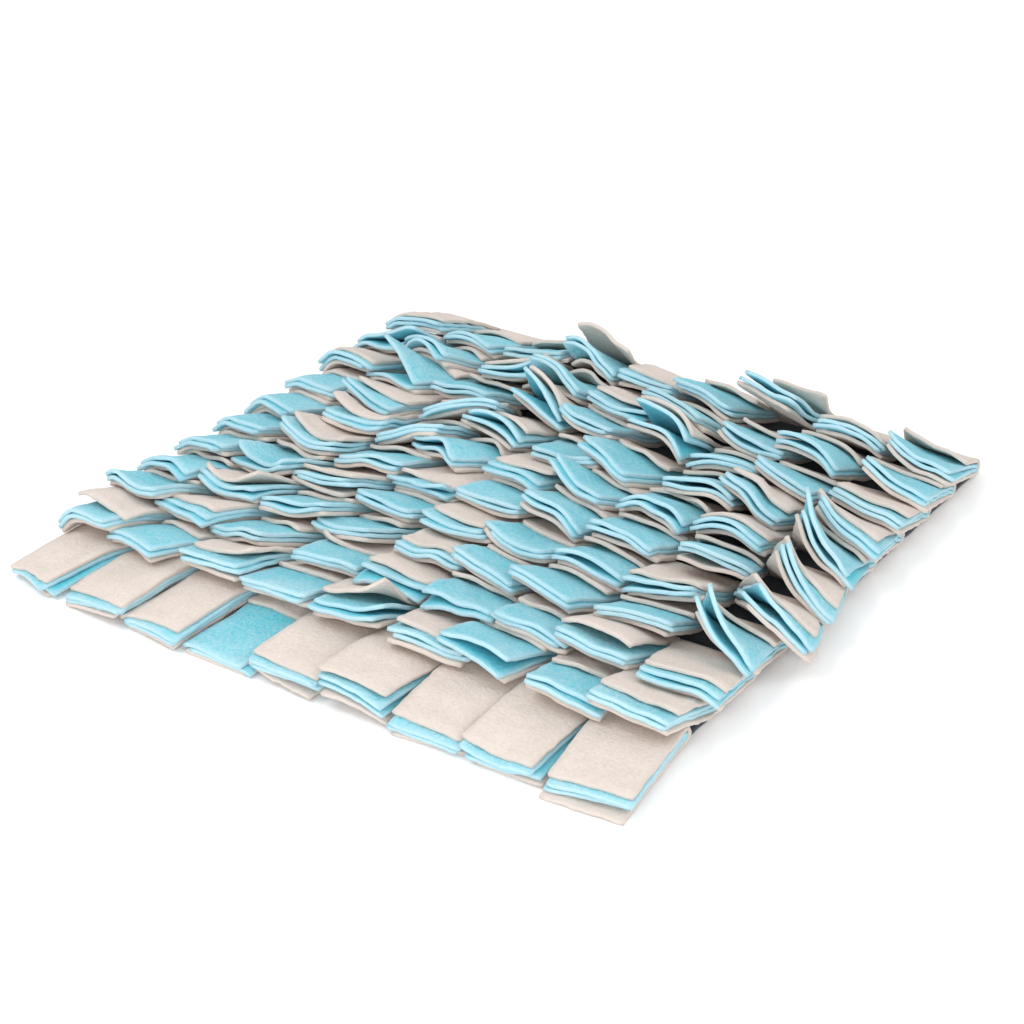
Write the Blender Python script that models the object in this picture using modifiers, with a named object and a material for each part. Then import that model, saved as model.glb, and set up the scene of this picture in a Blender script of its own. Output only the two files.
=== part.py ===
"""Snuffle mat: eleven rows of fleece strips on a square felt base.

Each row is two strips, an outer beige one and an inner blue one, sewn to the base along one seam and cut
into nine tabs on both sides of it. Both halves fold up round the seam and lean towards the front edge, so
that each cell is a bundle of four tabs: beige, blue, blue, beige. Metres, +Z up, -Y is the front.
"""

import math

import bmesh
import bpy
import numpy as np

# Base
BASE_SIDE = 0.450
BASE_THICKNESS = 0.0030
BASE_CORNER = 0.016
BASE_CORNER_STEPS = 4
EDGE_WAVE = 0.0016
EDGE_WAVES = 3
EDGE_POINTS = 10

# Strips
COLUMNS = 9
ROWS = 11
TAB_PITCH = BASE_SIDE / COLUMNS
ROW_PITCH = 0.040
FLEECE = 0.0027
AIR = 0.00040
LAYER = FLEECE + AIR
SLIT = 0.0014

# How deep the slits are, from the seam to the tips, in front of the seam and behind it: the first row's
# tabs lie flat and are longer than the others
FIRST_CUT = {"front": 0.082, "rear": 0.090}
LATER_CUT = {"front": 0.076, "rear": 0.077}

# Rows and seams: +Y is the rear, and a row's height is that of its outer strip's middle
FIRST_SEAM = -ROW_PITCH * (ROWS - 1) / 2
FRONT_MARGIN = BASE_SIDE / 2 + FIRST_SEAM
SEAM_HEIGHT = BASE_THICKNESS + AIR + FLEECE / 2
OUTER_RADIUS = 1.5 * LAYER
INNER_RADIUS = 0.5 * LAYER
FOLD_HEIGHT = SEAM_HEIGHT + OUTER_RADIUS
FOLD_TOP = FOLD_HEIGHT + OUTER_RADIUS
RADIUS = {"outer": OUTER_RADIUS, "inner": INNER_RADIUS}
BUNDLE = (("outer", "front"), ("inner", "front"), ("inner", "rear"), ("outer", "rear"))

# How a pile settles
SAMPLE = 0.0015
SAME_POINT = 1e-6
STEEPEST = math.radians(104)
STEEPEST_FOLD = math.radians(68)
LEAN_TRIES = 40
LEAN_TOLERANCE = math.radians(0.5)
TAB_STEPS = 2
LEVEL_HEIGHT = FLEECE / 2

# Lean of each bundle from the floor, in degrees: a row for each row of the mat, front first, and a column
# for each cell from left to right
LEAN = {
    1: (4, 4, 4, 5, 5, 8, 5, 4, 4),
    2: (6, 8, 12, 8, 8, 10, 14, 8, 8),
    3: (8, 12, 12, 8, 10, 12, 14, 12, 12),
    4: (8, 14, 10, 14, 12, 14, 16, 18, 38),
    5: (8, 16, 12, 14, 18, 18, 20, 24, 42),
    6: (10, 12, 16, 16, 20, 26, 24, 28, 44),
    7: (10, 14, 16, 22, 22, 28, 30, 24, 42),
    8: (12, 16, 14, 26, 22, 30, 24, 30, 34),
    9: (12, 22, 18, 26, 22, 30, 22, 30, 28),
    10: (14, 24, 16, 26, 26, 28, 30, 30, 26),
    11: (12, 18, 22, 26, 24, 24, 34, 18, 28),
}

# How much more the left edge of a bundle leans than its right edge, in degrees
ROLL = {
    1: (0, 0, 0, 0, 0, 0, 0, 0, 0),
    2: (0, 2, 2, 0, -2, -2, 2, 2, 2),
    3: (-2, 4, 2, -2, -2, 0, 4, 4, 6),
    4: (-2, 6, 2, 2, 0, 4, 8, 10, 12),
    5: (-2, 6, -2, 4, 6, 10, 12, 12, 12),
    6: (-2, 2, -2, 8, 10, 12, 12, 12, 12),
    7: (0, -2, 0, 12, 12, 12, 12, 12, 12),
    8: (0, 4, 2, 12, 12, 12, 12, 12, 12),
    9: (2, 8, 4, 12, 12, 12, 12, 12, 12),
    10: (2, 4, 2, 4, 4, 4, 4, 4, 4),
    11: (2, 4, -2, 4, 4, 4, 4, 4, 4),
}

# How far the four tabs of a bundle open like a fan, in degrees from one tab to the next
SPREAD = {
    1: (0, 0, 0, 0, 0, 1, 0, 0, 0),
    2: (0, 1, 0, 1, 0, 1, 2, 0, 1),
    3: (1, 0, 1, 0, 1, 0, 1, 1, 1),
    4: (1, 1, 0, 1, 0, 1, 1, 1, 4),
    5: (0, 1, 1, 0, 1, 1, 1, 1, 4),
    6: (1, 0, 1, 1, 1, 1, 1, 1, 3),
    7: (0, 1, 1, 1, 1, 2, 1, 1, 3),
    8: (1, 1, 1, 2, 1, 2, 1, 1, 3),
    9: (0, 2, 1, 1, 2, 2, 1, 1, 2),
    10: (1, 2, 1, 1, 1, 2, 1, 1, 2),
    11: (1, 1, 2, 1, 1, 1, 2, 1, 2),
}

DROOP = math.radians(9)
RAMP = 3.2

# How the pile leans sideways, as a share of the height above the folds
SWAY_SIDE = 0.16
SWAY_WAVE = 0.10
SWAY_WAVELENGTH = 0.19
SWAY_SLANT = 0.6

COLOURS = {
    "base_felt": ((0.052, 0.064, 0.080, 1.0), 0.95),
    "beige_fleece": ((0.80, 0.71, 0.63, 1.0), 0.92),
    "blue_fleece": ((0.29, 0.70, 0.85, 1.0), 0.92),
}


def clear_scene():
    for old in list(bpy.data.objects):
        bpy.data.objects.remove(old, do_unlink=True)


def make_material(name):
    colour, roughness = COLOURS[name]
    material = bpy.data.materials.new(name)
    material.use_nodes = True
    shader = material.node_tree.nodes["Principled BSDF"]
    shader.inputs["Base Color"].default_value = colour
    shader.inputs["Roughness"].default_value = roughness
    shader.inputs["Metallic"].default_value = 0.0
    return material


def corner_arc(centre_x, centre_y, start):
    """Points of a round corner, counter-clockwise from the angle start."""
    angles = [start + i * math.pi / 2 / BASE_CORNER_STEPS for i in range(BASE_CORNER_STEPS + 1)]
    return [(centre_x + BASE_CORNER * math.cos(a), centre_y + BASE_CORNER * math.sin(a)) for a in angles]


def base_outline():
    """The felt's outline: a square with round corners and slightly wavy sides."""
    flat = BASE_SIDE / 2 - BASE_CORNER
    corners = ((flat, -flat), (flat, flat), (-flat, flat), (-flat, -flat))
    points = []
    for side, (x, y) in enumerate(corners):
        turn = side * math.pi / 2
        points += corner_arc(x, y, turn - math.pi / 2)
        for step in range(1, EDGE_POINTS):
            along = step / EDGE_POINTS
            dent = EDGE_WAVE * math.sin(math.pi * along) * math.sin(EDGE_WAVES * math.pi * along + side)
            reach = BASE_SIDE / 2 - abs(dent)
            run = flat * (2 * along - 1)
            across = reach * math.cos(turn) - run * math.sin(turn)
            upward = reach * math.sin(turn) + run * math.cos(turn)
            points.append((across, upward))
    return points


def make_base(collection, material):
    """A flat felt sheet, lying on the floor."""
    outline = base_outline()
    curve = bpy.data.curves.new("base_sheet", "CURVE")
    curve.dimensions = "2D"
    curve.fill_mode = "BOTH"
    curve.extrude = BASE_THICKNESS / 2
    spline = curve.splines.new("POLY")
    spline.points.add(len(outline) - 1)
    for point, (x, y) in zip(spline.points, outline):
        point.co = (x, y, 0.0, 1.0)
    spline.use_cyclic_u = True
    sheet = bpy.data.objects.new("base_sheet", curve)
    sheet.location.z = BASE_THICKNESS / 2
    curve.materials.append(material)
    collection.objects.link(sheet)


def on_fold(radius, angle, half_turn):
    """A corner of the fold at a seam, as (forward, height) from the seam.

    The fold is a polygon round a circle of this radius. half_turn is half of what it bends at the corner, and
    angle is the corner's place, 0 at the lowest point and growing towards the front.
    """
    reach = radius / math.cos(half_turn)
    return np.array((reach * math.sin(angle), FOLD_HEIGHT - reach * math.cos(angle)))


def least_angle(start, reach, wanted, pile):
    """The lowest angle, at or above wanted, at which a straight tab from start clears the pile."""
    away = pile - start
    distance = np.hypot(away[:, 0], away[:, 1])
    near = (distance > SAME_POINT) & (distance < reach + LAYER)
    if not near.any():
        return wanted
    half = np.arcsin(np.clip(LAYER / distance[near], 0.0, 1.0))
    needed = np.arctan2(away[near, 1], away[near, 0]) + half
    return float(np.clip(needed.max(), wanted, STEEPEST))


def sampled(path):
    """Points close together along a path."""
    points = [path[0]]
    for a, b in zip(path[:-1], path[1:]):
        count = max(1, math.ceil(np.linalg.norm(b - a) / SAMPLE))
        points += [a + (b - a) * i / count for i in range(1, count + 1)]
    return np.array(points)


def lay_tab(path, length, heading, pile):
    """Adds straight steps to a path that starts on the fold, each as low as the pile allows."""
    left = length
    for step in range(TAB_STEPS):
        run = left / (TAB_STEPS - step)
        heading = least_angle(path[-1], left, heading, pile)
        path.append(path[-1] + run * np.array((math.cos(heading), math.sin(heading))))
        left -= run
        heading -= DROOP
    return path


def ground():
    """What lies under the tabs, as points: the base, then the floor. Distances are from the front seam."""
    forward = np.arange(-ROWS * ROW_PITCH, FRONT_MARGIN + FIRST_CUT["rear"], SAMPLE)
    height = np.where(forward < FRONT_MARGIN, SEAM_HEIGHT, LEVEL_HEIGHT) - LAYER
    return np.column_stack((forward, height))


def floor_tab(start):
    """The lowest tab of the front row: over the base's edge and down to the floor, where it lies level."""
    edge = start + np.array((FRONT_MARGIN + AIR, 0.0))
    down = edge[1] - LEVEL_HEIGHT
    foot = edge + np.array((RAMP * down, -down))
    left = FIRST_CUT["front"] - np.linalg.norm(edge - start) - np.linalg.norm(foot - edge)
    return [start, edge, foot, foot + np.array((left, 0.0))]


def front_fold(radius, lean):
    """Where a front tab leaves the base."""
    return on_fold(radius, lean / 2, lean / 2)


def rear_fold(radius, lean):
    """Where a rear tab, which already points up, turns over to the front."""
    quarter_turn = (math.pi / 2 - lean) / 4
    return [on_fold(radius, -math.pi / 2 - quarter_turn * place, quarter_turn) for place in (1, 3)]


def bundle_lean(row, column, edge, cut, pile):
    """The bundle's angle at its seam: the lean it is given, or as much more as the rows before it need."""
    lean = math.radians(LEAN[row][column] - edge * ROLL[row][column] / 2)
    for _ in range(LEAN_TRIES):
        needed = least_angle(front_fold(OUTER_RADIUS, lean), cut["front"], lean, pile)
        if needed < lean + LEAN_TOLERANCE:
            break
        lean = needed
    return min(lean, STEEPEST_FOLD)


def lay_line(column, edge):
    """One edge of the four tabs of each bundle in a column, laid from the front row to the rear one.

    edge is -1 for the left one and 1 for the right one. Each path is a list of (forward, height) from its
    own seam.
    """
    pile = ground()
    laid = {}
    for row in range(1, ROWS + 1):
        if row > 1:
            pile = pile + np.array((ROW_PITCH, 0.0))
        cut = FIRST_CUT if row == 1 else LATER_CUT
        lean = bundle_lean(row, column, edge, cut, pile)
        spread = math.radians(SPREAD[row][column])
        tabs = {}
        for number, (strip, side) in enumerate(BUNDLE):
            radius = RADIUS[strip]
            angle = min(lean + spread * number, STEEPEST_FOLD)
            if side == "front":
                path = [front_fold(radius, angle)]
                length = cut["front"] - radius * angle
            else:
                path = rear_fold(radius, angle)
                length = cut["rear"] - radius * (math.pi - angle)
            if row == 1 and number == 0:
                path = floor_tab(path[0])
            else:
                path = lay_tab(path, length, angle, pile)
            tabs[strip, side] = path
            pile = np.concatenate((pile, sampled(path)))
        laid[row] = tabs
    return laid


def sway(x, y, height):
    """How far sideways a point leans: outwards near the mat's sides, and in slow waves between them."""
    outward = 2 * x / BASE_SIDE
    side = SWAY_SIDE * outward**3
    wave = SWAY_WAVE * math.sin(2 * math.pi * (x + SWAY_SLANT * y) / SWAY_WAVELENGTH)
    return max(0.0, height - FOLD_TOP) * (side + wave * (1 - abs(outward)))


def bend_grid(sheet, seam_y, profiles):
    """Adds a flat grid and bends it into a row: a left and a right line of verts for each cell, each along
    its own profile from tip to tip. It returns each vert's line and its place in the profile."""
    lines = 2 * COLUMNS - 1
    steps = len(profiles[0]) - 1
    made = bmesh.ops.create_grid(sheet, x_segments=lines, y_segments=steps, size=1.0)
    places = {}
    for vert in made["verts"]:
        line = round((vert.co.x + 1) / 2 * lines)
        step = round((vert.co.y + 1) / 2 * steps)
        column, is_right = divmod(line, 2)
        inset = -SLIT / 2 if is_right else SLIT / 2
        x = (column + is_right) * TAB_PITCH - BASE_SIDE / 2 + inset
        forward, height = profiles[line][step]
        y = seam_y - forward
        vert.co = (x + sway(x, y, height), y, height)
        places[vert] = (line, step)
    return places


def cut_slits(sheet, places, band):
    """Takes out the faces between neighbouring tabs, apart from those of the uncut band."""
    slits = []
    for face in sheet.faces:
        lines, steps = zip(*(places[vert] for vert in face.verts))
        is_between = min(lines) % 2 == 1
        is_uncut = min(steps) >= band[0] and max(steps) <= band[1]
        if is_between and not is_uncut:
            slits.append(face)
    bmesh.ops.delete(sheet, geom=slits, context="FACES")


def make_strip(collection, row, strip, edges, material):
    """One strip of a row: a flat sheet with slits, bent along its folds, and given its thickness."""
    eighth = math.pi / 8
    behind_seam = [on_fold(RADIUS[strip], -eighth * place, eighth) for place in (1, 3)]
    profiles = [tabs[strip, "front"][::-1] + behind_seam + tabs[strip, "rear"] for tabs in edges]
    seam = len(edges[0][strip, "front"]) - 1

    sheet = bmesh.new()
    places = bend_grid(sheet, FIRST_SEAM + (row - 1) * ROW_PITCH, profiles)
    cut_slits(sheet, places, (seam, seam + len(behind_seam)))
    mesh = bpy.data.meshes.new(f"row_{row:02d}_{strip}")
    sheet.to_mesh(mesh)
    sheet.free()
    mesh.materials.append(material)

    cloth = bpy.data.objects.new(mesh.name, mesh)
    collection.objects.link(cloth)
    thickness = cloth.modifiers.new("fleece", "SOLIDIFY")
    thickness.thickness = FLEECE
    thickness.offset = 0.0
    thickness.use_even_offset = True
    thickness.use_quality_normals = True


def main():
    clear_scene()
    collection = bpy.data.collections.new("snuffle_mat")
    bpy.context.scene.collection.children.link(collection)
    materials = {name: make_material(name) for name in COLOURS}
    make_base(collection, materials["base_felt"])
    lines = [lay_line(column, edge) for column in range(COLUMNS) for edge in (-1, 1)]
    for row in range(1, ROWS + 1):
        edges = [line[row] for line in lines]
        make_strip(collection, row, "outer", edges, materials["beige_fleece"])
        make_strip(collection, row, "inner", edges, materials["blue_fleece"])


main()
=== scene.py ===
"""Looks for the snuffle mat: rows of folded fleece strips, cut into tabs, on a square of felt."""

import math

import bpy
import numpy as np
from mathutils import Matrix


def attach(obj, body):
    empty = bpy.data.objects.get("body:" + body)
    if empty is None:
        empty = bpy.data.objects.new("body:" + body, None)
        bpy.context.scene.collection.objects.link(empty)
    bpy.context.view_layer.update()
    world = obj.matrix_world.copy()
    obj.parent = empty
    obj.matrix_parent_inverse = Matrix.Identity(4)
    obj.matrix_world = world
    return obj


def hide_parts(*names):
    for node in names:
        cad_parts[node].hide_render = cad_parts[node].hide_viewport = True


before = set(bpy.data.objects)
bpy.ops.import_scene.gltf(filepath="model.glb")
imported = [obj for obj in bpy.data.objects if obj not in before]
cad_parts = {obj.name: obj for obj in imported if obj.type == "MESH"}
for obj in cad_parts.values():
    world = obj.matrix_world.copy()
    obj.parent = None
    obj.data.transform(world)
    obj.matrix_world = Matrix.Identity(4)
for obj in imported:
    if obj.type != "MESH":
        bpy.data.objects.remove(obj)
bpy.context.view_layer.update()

# ---------------------------------------------------------------------------------------------------------
# Sizes are in metres and angles in degrees, unless a name or a comment says otherwise. Rows count from the
# front edge, columns from the left, and a bundle's four tabs from the lowest up.

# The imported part. The cuts are the front and rear lengths of a strip, from the seam's line to the tips
BASE_SIDE = 0.450
BASE_THICKNESS = 0.0030
BASE_CORNER = 0.016
COLUMNS = 9
ROWS = 11
TAB_PITCH = BASE_SIDE / COLUMNS
ROW_PITCH = 0.040
FLEECE = 0.0027
AIR = 0.0004
LAYER = FLEECE + AIR
SLIT = 0.0012
FIRST_CUT = (0.082, 0.090)
LATER_CUT = (0.076, 0.077)
FIRST_SEAM = -ROW_PITCH * (ROWS - 1) / 2
FRONT_MARGIN = BASE_SIDE / 2 + FIRST_SEAM
SEAM_HEIGHT = BASE_THICKNESS + AIR + FLEECE / 2
OUTER_RADIUS = 1.5 * LAYER
INNER_RADIUS = 0.5 * LAYER
FOLD_HEIGHT = SEAM_HEIGHT + OUTER_RADIUS
STRIP_NAMES = ("outer", "inner")
RADIUS = (OUTER_RADIUS, INNER_RADIUS)

# The tabs of a bundle: their strip (0 outer, 1 inner) and side (0 front, 1 rear)
BUNDLE = ((0, 0), (1, 0), (1, 1), (0, 1))
TABS = (ROWS, len(BUNDLE), COLUMNS)
BUNDLES = (ROWS, 1, COLUMNS)

# A tab's grid: its lines run from the left edge to the right, its steps from the root to the tip. It is laid
# out by three guides, at its left edge, its middle and its right edge, with a parabola through them
LINES = 13
STEPS = 17
ACROSS = np.linspace(-1.0, 1.0, LINES)
ALONG = np.linspace(0.0, 1.0, STEPS)[:, None]
GUIDES = np.array((-1.0, 0.0, 1.0))
PARABOLA = np.stack((ACROSS * (ACROSS - 1) / 2, 1 - ACROSS * ACROSS, ACROSS * (ACROSS + 1) / 2))

# The bundles' unevenness and the cut edges' have their own random numbers
RNG = np.random.default_rng(11)
EDGE_RNG = np.random.default_rng(5)

# ---------------------------------------------------------------------------------------------------------
# How each bundle lies

# Lean from the floor
LEAN = np.array(
    (
        (2, 2, 2, 3, 4, 7, 3, 2, 2),
        (6, 8, 12, 8, 8, 10, 14, 8, 8),
        (8, 12, 12, 8, 10, 12, 14, 9, 12),
        (8, 14, 10, 13, 11, 10, 12, 14, 30),
        (8, 16, 12, 11, 15, 12, 14, 18, 30),
        (10, 12, 16, 13, 17, 20, 18, 22, 35),
        (10, 14, 16, 19, 19, 22, 24, 18, 34),
        (12, 16, 14, 23, 19, 27, 21, 27, 27),
        (12, 22, 18, 23, 19, 27, 19, 27, 26),
        (14, 19, 16, 23, 23, 25, 27, 27, 26),
        (12, 18, 22, 28, 21, 21, 42, 15, 25),
    ),
    float,
)

# How much more the left edge leans than the right one
ROLL = np.array(
    (
        (0, 0, 0, 0, 0, 3, 0, 0, 0),
        (-2, 6, 4, 1, -1, -5, 4, 1, 0),
        (-4, 7, 4, -4, -2, -2, 4, 2, 0),
        (-4, 12, 2, 3, -2, -2, 6, 5, 28),
        (-4, 9, -4, 2, 4, 6, 8, 7, 30),
        (-2, 2, -5, 3, 8, 14, 7, 7, 34),
        (2, -6, -4, 11, 8, 16, 11, 8, 32),
        (-2, 8, -6, 12, 10, 18, 6, 14, 18),
        (2, 6, 6, 14, 5, 16, 8, 16, 14),
        (4, 10, -3, 14, 16, 16, 16, 16, 14),
        (4, 10, -4, 3, 10, 13, 6, 2, 16),
    ),
    float,
)

# Turn in plan, positive towards the left
YAW = np.array(
    (
        (13, 5, 8, 1, 0, 2, -1, -2, -8),
        (6, 15, 5, -1, -5, -12, -3, -6, -2),
        (4, 15, 6, -6, -4, -8, -3, -6, -12),
        (6, 10, 2, -1, -6, -9, -3, -2, -10),
        (8, 6, -2, 1, -2, -2, -2, -6, -19),
        (4, 4, -4, -1, 0, 2, -2, -6, -14),
        (10, -2, 2, 5, -2, 0, 2, -6, -9),
        (6, 6, -4, 9, 2, 2, -6, 2, -11),
        (8, 10, 8, 3, -6, 4, -6, 2, -9),
        (6, 14, -2, 5, 4, 2, 2, 2, -9),
        (8, 4, -3, 5, 2, -2, 8, -6, -7),
    ),
    float,
)

# How far the tabs open like a fan, from one to the next
FAN = np.array(
    (
        (0, 0, 0, 0, 0, 2, 0, 0, 0),
        (0, 1, 0, 0.5, 0, 0.5, 1, 0, 1),
        (1, 0, 1, 0, 0.5, 0, 0.5, 0.5, 1),
        (1, 1, 0, 0.5, 0, 0.5, 0.5, 0.5, 1.2),
        (0, 1, 1, 0, 0.5, 0.5, 0.5, 0.5, 1.2),
        (1, 0, 1, 0.5, 0.5, 0.5, 0.5, 0.5, 0.6),
        (0, 1, 1, 0.5, 0.5, 1, 0.5, 0.5, 0.6),
        (1, 1, 1, 1, 0.5, 1, 0.5, 0.5, 0.6),
        (0, 2, 1, 0.5, 1, 1, 0.5, 0.5, 0.3),
        (1, 2, 1, 0.5, 0.5, 1, 0.5, 0.5, 0.3),
        (1, 1, 2, 0.5, 0.5, 0.5, 1, 0.5, 0.3),
    ),
    float,
)

# Tabs that stand off their bundle: row, column, the lowest tab that does, and by how much at its left and
# right edge
OPENED = (
    (1, 6, 2, 3, 2), (1, 6, 1, 2, 4), (2, 0, 2, 2, 4), (3, 0, 1, 2, 5), (4, 0, 2, 5, 2), (4, 1, 2, 9, 5),
    (3, 4, 3, 7, 7), (5, 1, 3, 7, 6), (6, 2, 2, 5, 5), (6, 3, 2, 6, 2), (7, 3, 1, 4, 4), (8, 1, 2, 18, 6),
    (9, 1, 2, 4, 3), (8, 3, 2, 8, 5), (8, 5, 2, 7, 4), (7, 5, 3, 5, 4), (7, 6, 2, 5, 5), (10, 3, 3, 12, 13),
    (10, 6, 2, 4, 4), (10, 8, 3, 9, 3), (6, 8, 2, 9, 3), (7, 8, 1, 2, 2), (4, 8, 2, 2, 2), (3, 8, 2, 2, 2),
)

# Bundles whose uppermost tab is snipped to a share of its length and stands up a little, so that blue shows
BLUE_ON_TOP = (
    (1, 1), (1, 3), (1, 6), (1, 7), (2, 0), (2, 2), (2, 3), (2, 5), (2, 6), (3, 0), (3, 2), (3, 3), (3, 5),
    (3, 6), (3, 7), (3, 8), (4, 0), (4, 1), (4, 3), (4, 5), (4, 6), (5, 0), (5, 2), (5, 4), (5, 5), (5, 6),
    (5, 7), (6, 0), (6, 2), (6, 3), (6, 5), (6, 6), (6, 8), (7, 0), (7, 2), (7, 4), (7, 5), (7, 6), (8, 1),
    (8, 2), (8, 4), (8, 6), (8, 7), (9, 0), (9, 1), (9, 3), (9, 5), (9, 6), (9, 7), (9, 8), (10, 1), (10, 2),
    (10, 5), (10, 6), (10, 8),
)
SNIPPED = 0.62
SNIPPED_OPENING = 5.0

# Lengths of a bundle's tabs as shares of their cut, and the tabs cut anew: row, column, tab and share
FIRST_SHARE = np.array((0.985, 0.995, 0.965, 1.035))
LATER_SHARE = np.array((0.95, 0.99, 1.0, 0.99))
CUT_ANEW = (
    (0, 0, 0, 0.88), (0, 0, 1, 0.90), (0, 0, 2, 0.90), (0, 0, 3, 0.98), (0, 3, 3, 0.45), (0, 8, 0, 1.05),
    (3, 8, 0, 0.78),
)

# Bundles cut narrower to their tips: row, column and how far in the left edge is drawn there. The last
# column's are wider than the others all along
TAPERED = ((0, 0, 0.010),)
LAST_WIDER = 0.0035

# By column: the droop from root to tip, the share of the left edge's lean that the middle takes, and shares
# of the middle's own bulge, of the random leans and turns, and of the other unevenness. Then the least share
# of its width that a tab takes up in plan where it slopes across
CURL = np.array((21, 20, 17, 14, 13, 12, 12, 12, 9), float)
MIDDLE_SHARE = np.array((0.5, 0.5, 0.52, 0.55, 0.56, 0.56, 0.55, 0.52, 0.36))
BULGE = np.array((0.5, 0.6, 0.75, 1.0, 1.0, 1.0, 1.0, 1.0, 0.0))
STRAY = np.array((0.7, 1.05, 1.35, 1.45, 1.5, 1.5, 1.4, 1.2, 0.35))
LEVEL = np.array((1.0, 1.0, 1.0, 1.0, 1.0, 1.0, 1.0, 1.0, 0.35))
LEAST_WIDTH = np.array((0.9, 0.9, 0.9, 0.9, 0.9, 0.9, 0.9, 0.88, 0.76))

# Random unevenness, as standard deviations. A pair is that of whole bundles and that of the tabs within one
UNEVEN_LEAN = 2.5
UNEVEN_ROLL = 4.0
MEAN_BULGE = 1.8
UNEVEN_BULGE = 2.8
UNEVEN_OPENING = 1.4
UNEVEN_CURL = (6.0, 1.8)
UNEVEN_TWIST = (3.0, 1.2)
UNEVEN_YAW = (4.0, 1.5)
UNEVEN_LENGTH = 0.018
UNEVEN_SLANT = 0.014
NARROWEST_BY = 0.0006

# What the first row takes of the unevenness and the overhang, of the uneven lengths and of the ripple
FIRST_ROW_SHARE = 0.25
FIRST_ROW_LENGTHS = 0.4
FIRST_ROW_RIPPLE = 0.6

# The ripple: a cup across the tab and a slow wave, both growing by a power of the share along it. The wave's
# heights are gamma distributed, with a shape and a scale for bundles and for tabs. Its phase is in radians,
# and so are its turns times its stretch, over half a tab's width
MEAN_CUP = -0.5e-3
UNEVEN_CUP = (0.9e-3, 0.35e-3)
WAVE_GAMMA = ((1.2, 0.45e-3), (1.0, 0.15e-3))
WAVE_PHASE = 0.4
WAVE_TURNS = (1.2, 3.0)
UNEVEN_TURNS = 0.15
WAVE_STRETCH = 1.5
RIPPLE_POWER = 1.5

# Shorter, shallower waves of the cloth: their length and height. The phase is in radians. The height is taken
# times a least share and a gamma distributed one together, and grows over a quarter of the tab
CRUMPLE = ((0.042, 0.00030), (0.027, 0.00022), (0.018, 0.00014))
CRUMPLE_PHASE = 0.5
CRUMPLE_GAMMA = (1.5, 0.5)
LEAST_CRUMPLE = 0.4
CRUMPLE_RISE = 4.0

# Free ends stand up from this share of the tab on, by gamma distributed heights times a share that grows over
# the columns. Their left edge stands up more, by a share with this mean and spread
RAISED_FROM = 0.45
RAISED_POWER = 1.6
RAISED_GAMMA = (0.6, 0.9e-3)
RAISED_COLUMNS = (0.3, 1.2)
RAISED_SIDE = (0.1, 0.4)

# Tabs sink beyond these distances from the mat's middle, by slopes that start softly and grow along the tab
OVERHANG_SOFT = 0.008
RIGHT_FROM = 0.224
RIGHT_SLOPE = 0.6
BACK_RIGHT_SLOPE = 0.3
BACK_ROWS_FROM = 7
LEFT_FROM = 0.216
LEFT_SLOPE = 0.8
FIRST_LEFT_SLOPE = 0.45
LEFT_RISE = 2.0

# A tab's turn grows over its first steps. Its tip's corners are drawn back by a share of the last step
TURNING_STEPS = 5.0
CORNER_CUT = 0.07
CORNER_POWER = 8

# ---------------------------------------------------------------------------------------------------------
# How the bundles are laid and pushed apart

# A tab is laid as straight steps that look this far ahead, on a pile of points that starts with the ground's
LAY_STEPS = 7
LOOK_AHEAD = 0.032
LEAN_TRIES = 12
STEEPEST = math.radians(115)
STEEPEST_FOLD = math.radians(75)
ARC_POINTS = 6
PILE_POINTS = 46
GROUND_STEP = 0.0015
SAME_POINT = 1e-6

# The overlaps left after the laying are pushed apart in rounds, between points that are less than CONTACT
# apart along their normals and less than CONTACT_REACH aside. The pairs are found anew every few rounds, as
# far apart as CAPTURE. The push grows over HELD_STEPS, from none at the root
CONTACT = 0.0029
CONTACT_REACH = 0.0036
CAPTURE = 0.0060
SETTLE_ROUNDS = 72
REBUILD_EVERY = 8
OVER_RELAXED = 1.2
HELD_STEPS = 4.0
QUIET_COLUMN = 2.6
NOT_ZERO = 1e-9

# A tab whose one edge is this much lower than the other keeps that edge in place
EDGE_KEPT_AT = 0.015

# The tabs bend back from these limits: where that starts and how much further they reach
RIGHT_LIMIT = (0.2440, 0.0095)
TOP_LIMIT = (0.0700, 0.0085)

# ---------------------------------------------------------------------------------------------------------
# How the cloth looks

# The fleece with its nap, the angles of the band between a strip's roots, and how fast the painted shade in
# the root's colour fades to the tip. That colour stands in for the shade deep among the tabs, and keeps its
# least share on the face inside the fold, where it is painted shade too
NAPPED = 0.0030
BAND_ANGLES = (22.5, 45.0, 67.5)
ROOT_SHADE_POWER = 2.6
FOLD_SHADE = 0.65

# A cut edge's rings: how far out and up, as shares of the thickness, as is the half thickness beside them.
# Then how much of the edge's colour the faces' rim takes, where the rings take all of it, and how uneven the
# cut is. The edge's colour is painted light on the blue and painted shade on the beige
EDGE_OUT = 0.13
EDGE_RISES = (0.34, -0.34)
EDGE_HALF = 0.46
EDGE_SHADING = 0.6
UNEVEN_EDGE = 0.00022

# The felt's mesh, which stays this far inside the CAD's outline
BASE_LINES = 61
BASE_INSET = 0.0015

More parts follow.
